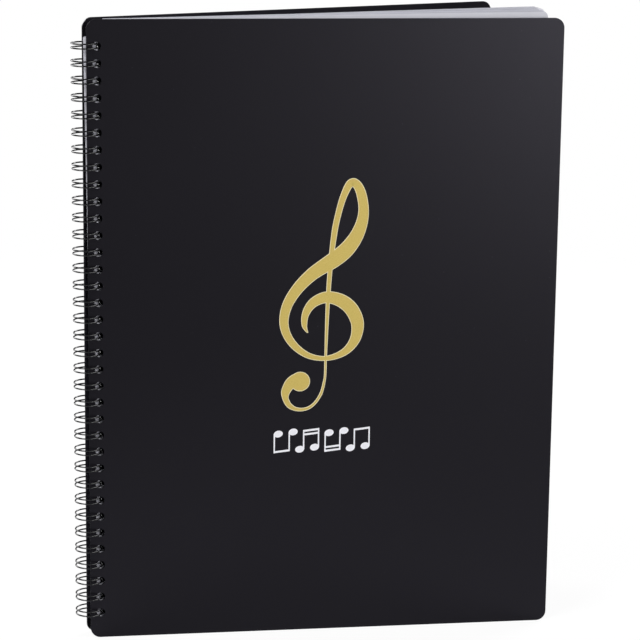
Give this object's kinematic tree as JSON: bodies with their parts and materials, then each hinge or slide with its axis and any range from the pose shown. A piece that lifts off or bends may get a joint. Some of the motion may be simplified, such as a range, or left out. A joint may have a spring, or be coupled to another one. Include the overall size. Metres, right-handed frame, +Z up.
{
  "type": "music folder",
  "caption": "Wire-bound music folder standing slightly open, with black plastic covers, frosted pocket leaves and a treble clef print.",
  "frame": {"origin": "middle of the footprint on the surface the folder stands on", "axes": "+Z up along the spine, -Y out of the front cover, -X towards the wire binding"},
  "size_m": [0.2442, 0.0964, 0.314],
  "materials": {
    "cover_plastic": "black polypropylene sheet with a fine satin grain",
    "pocket_film": "frosted clear film over pale sheets",
    "coated_wire": "black nylon-coated steel wire, glossy",
    "gold_print": "gold print, satin",
    "white_print": "white print"
  },
  "bodies": {
    "binding": {"binding_wire": "coated_wire", "pocket_leaves": "pocket_film"},
    "front": {"front_cover": "cover_plastic", "clef_print": "gold_print", "note_pair_1_print": "white_print", "note_pair_2_print": "white_print", "note_pair_3_print": "white_print", "note_pair_4_print": "white_print"},
    "back": {"back_cover": "cover_plastic"}
  },
  "joints": [
    {"name": "front_cover_hinge", "type": "hinge", "parent": "binding", "child": "front", "pos_m": [-0.11513, -0.04099, 0], "axis": [0, 0, -1], "range_deg": [0, 110]},
    {"name": "back_cover_hinge", "type": "hinge", "parent": "binding", "child": "back", "pos_m": [-0.11513, -0.04099, 0], "axis": [0, 0, 1], "range_deg": [-11, 48]}
  ]
}
